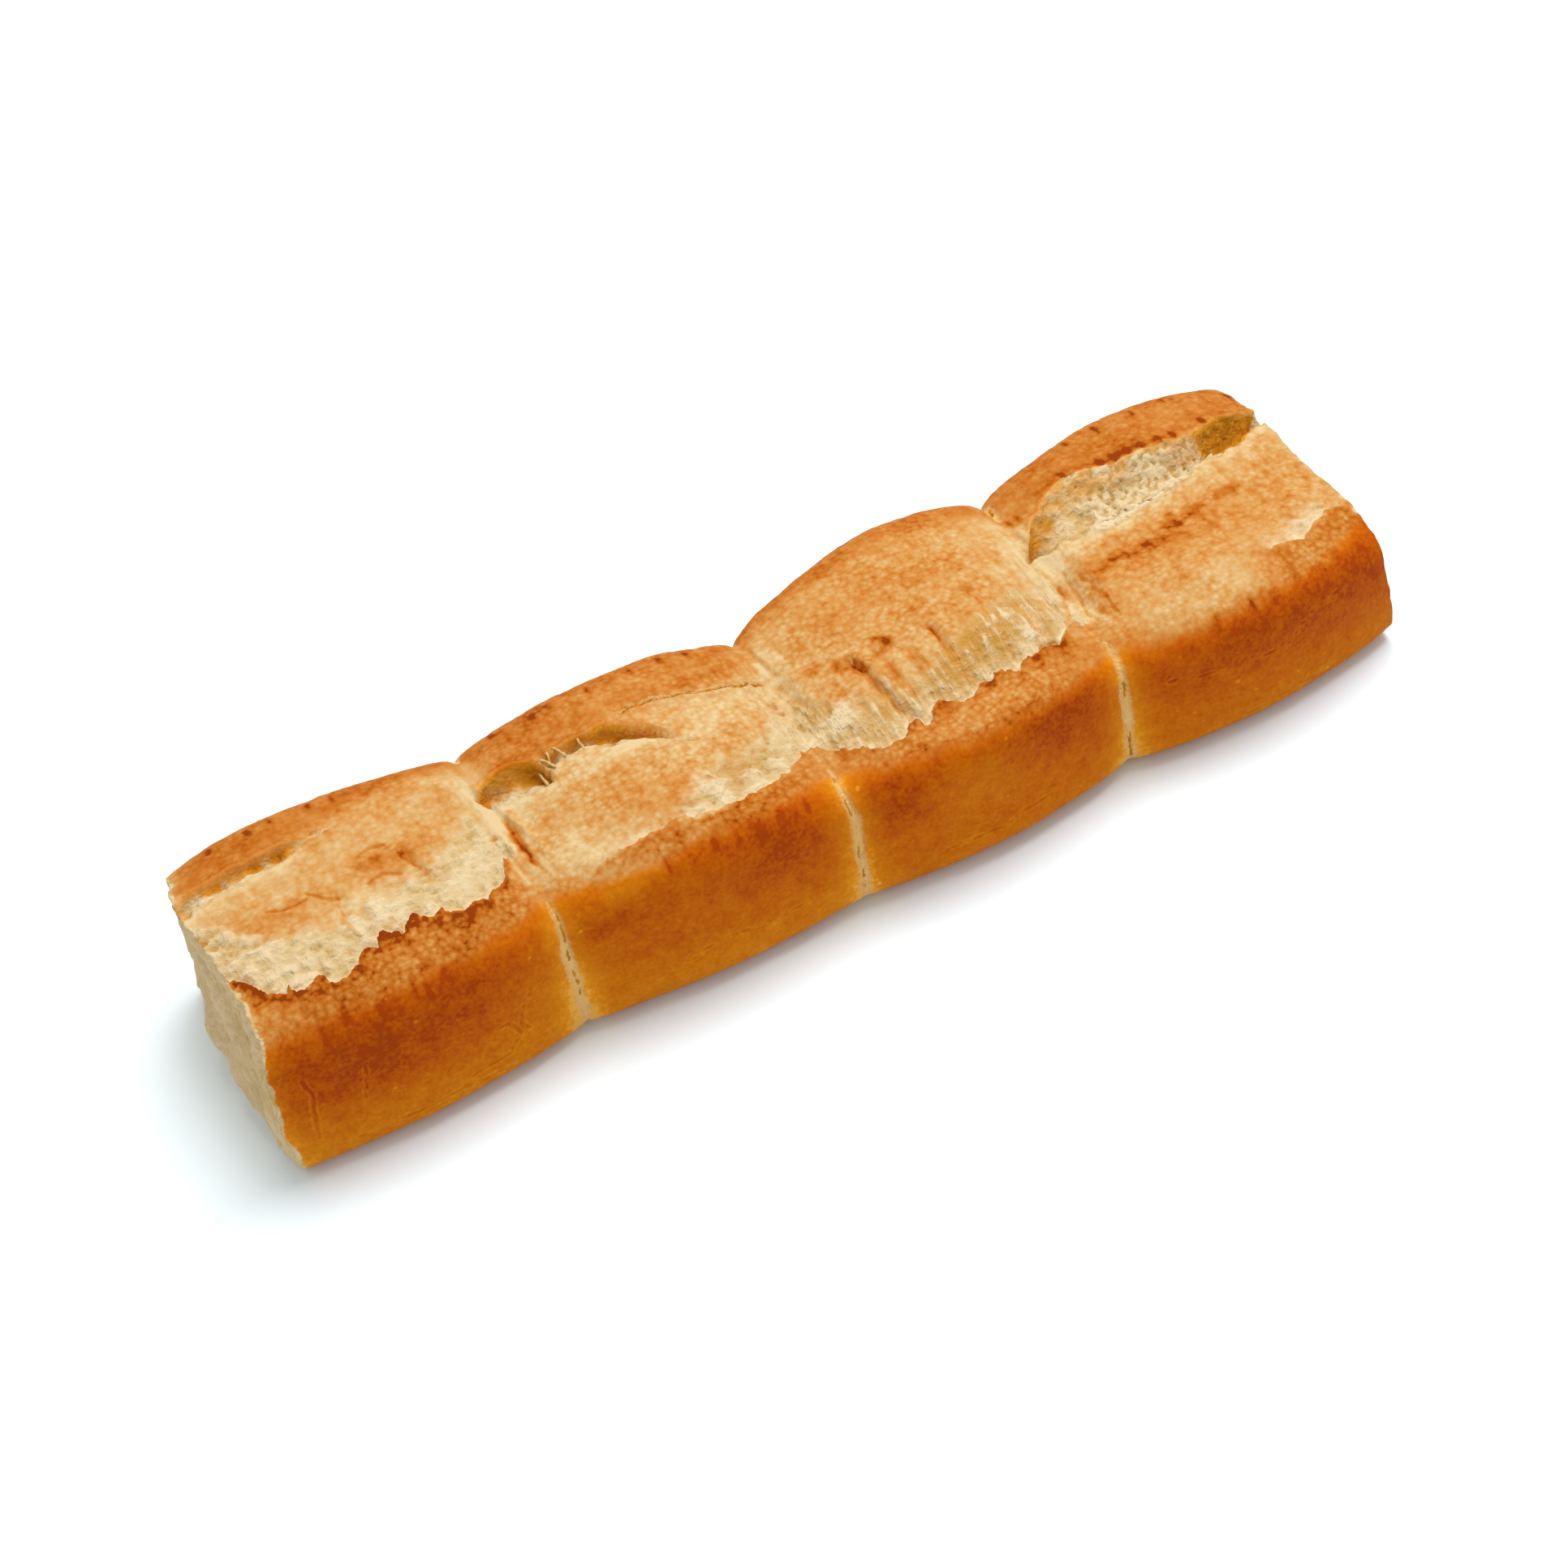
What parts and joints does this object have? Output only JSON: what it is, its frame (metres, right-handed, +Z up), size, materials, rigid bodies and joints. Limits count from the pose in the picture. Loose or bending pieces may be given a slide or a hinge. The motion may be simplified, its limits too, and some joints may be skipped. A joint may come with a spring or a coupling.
{
  "type": "joined bread roll strip",
  "caption": "Pull-apart strip of white bread rolls baked end to end in a row, each top burst along a lengthwise slash, with golden brown crust and pale torn crumb.",
  "frame": {"origin": "the middle of the flat base", "axes": "+X runs along the row of rolls, -Y is the front that the picture shows, +Z is up"},
  "size_m": [0.3158, 0.0878, 0.0525],
  "materials": {
    "baked_crust": "golden brown baked crust, speckled on top, satin on the sides, with pale matte crumb where it is torn"
  },
  "bodies": {
    "root": {"roll_strip": "baked_crust"}
  },
  "joints": []
}
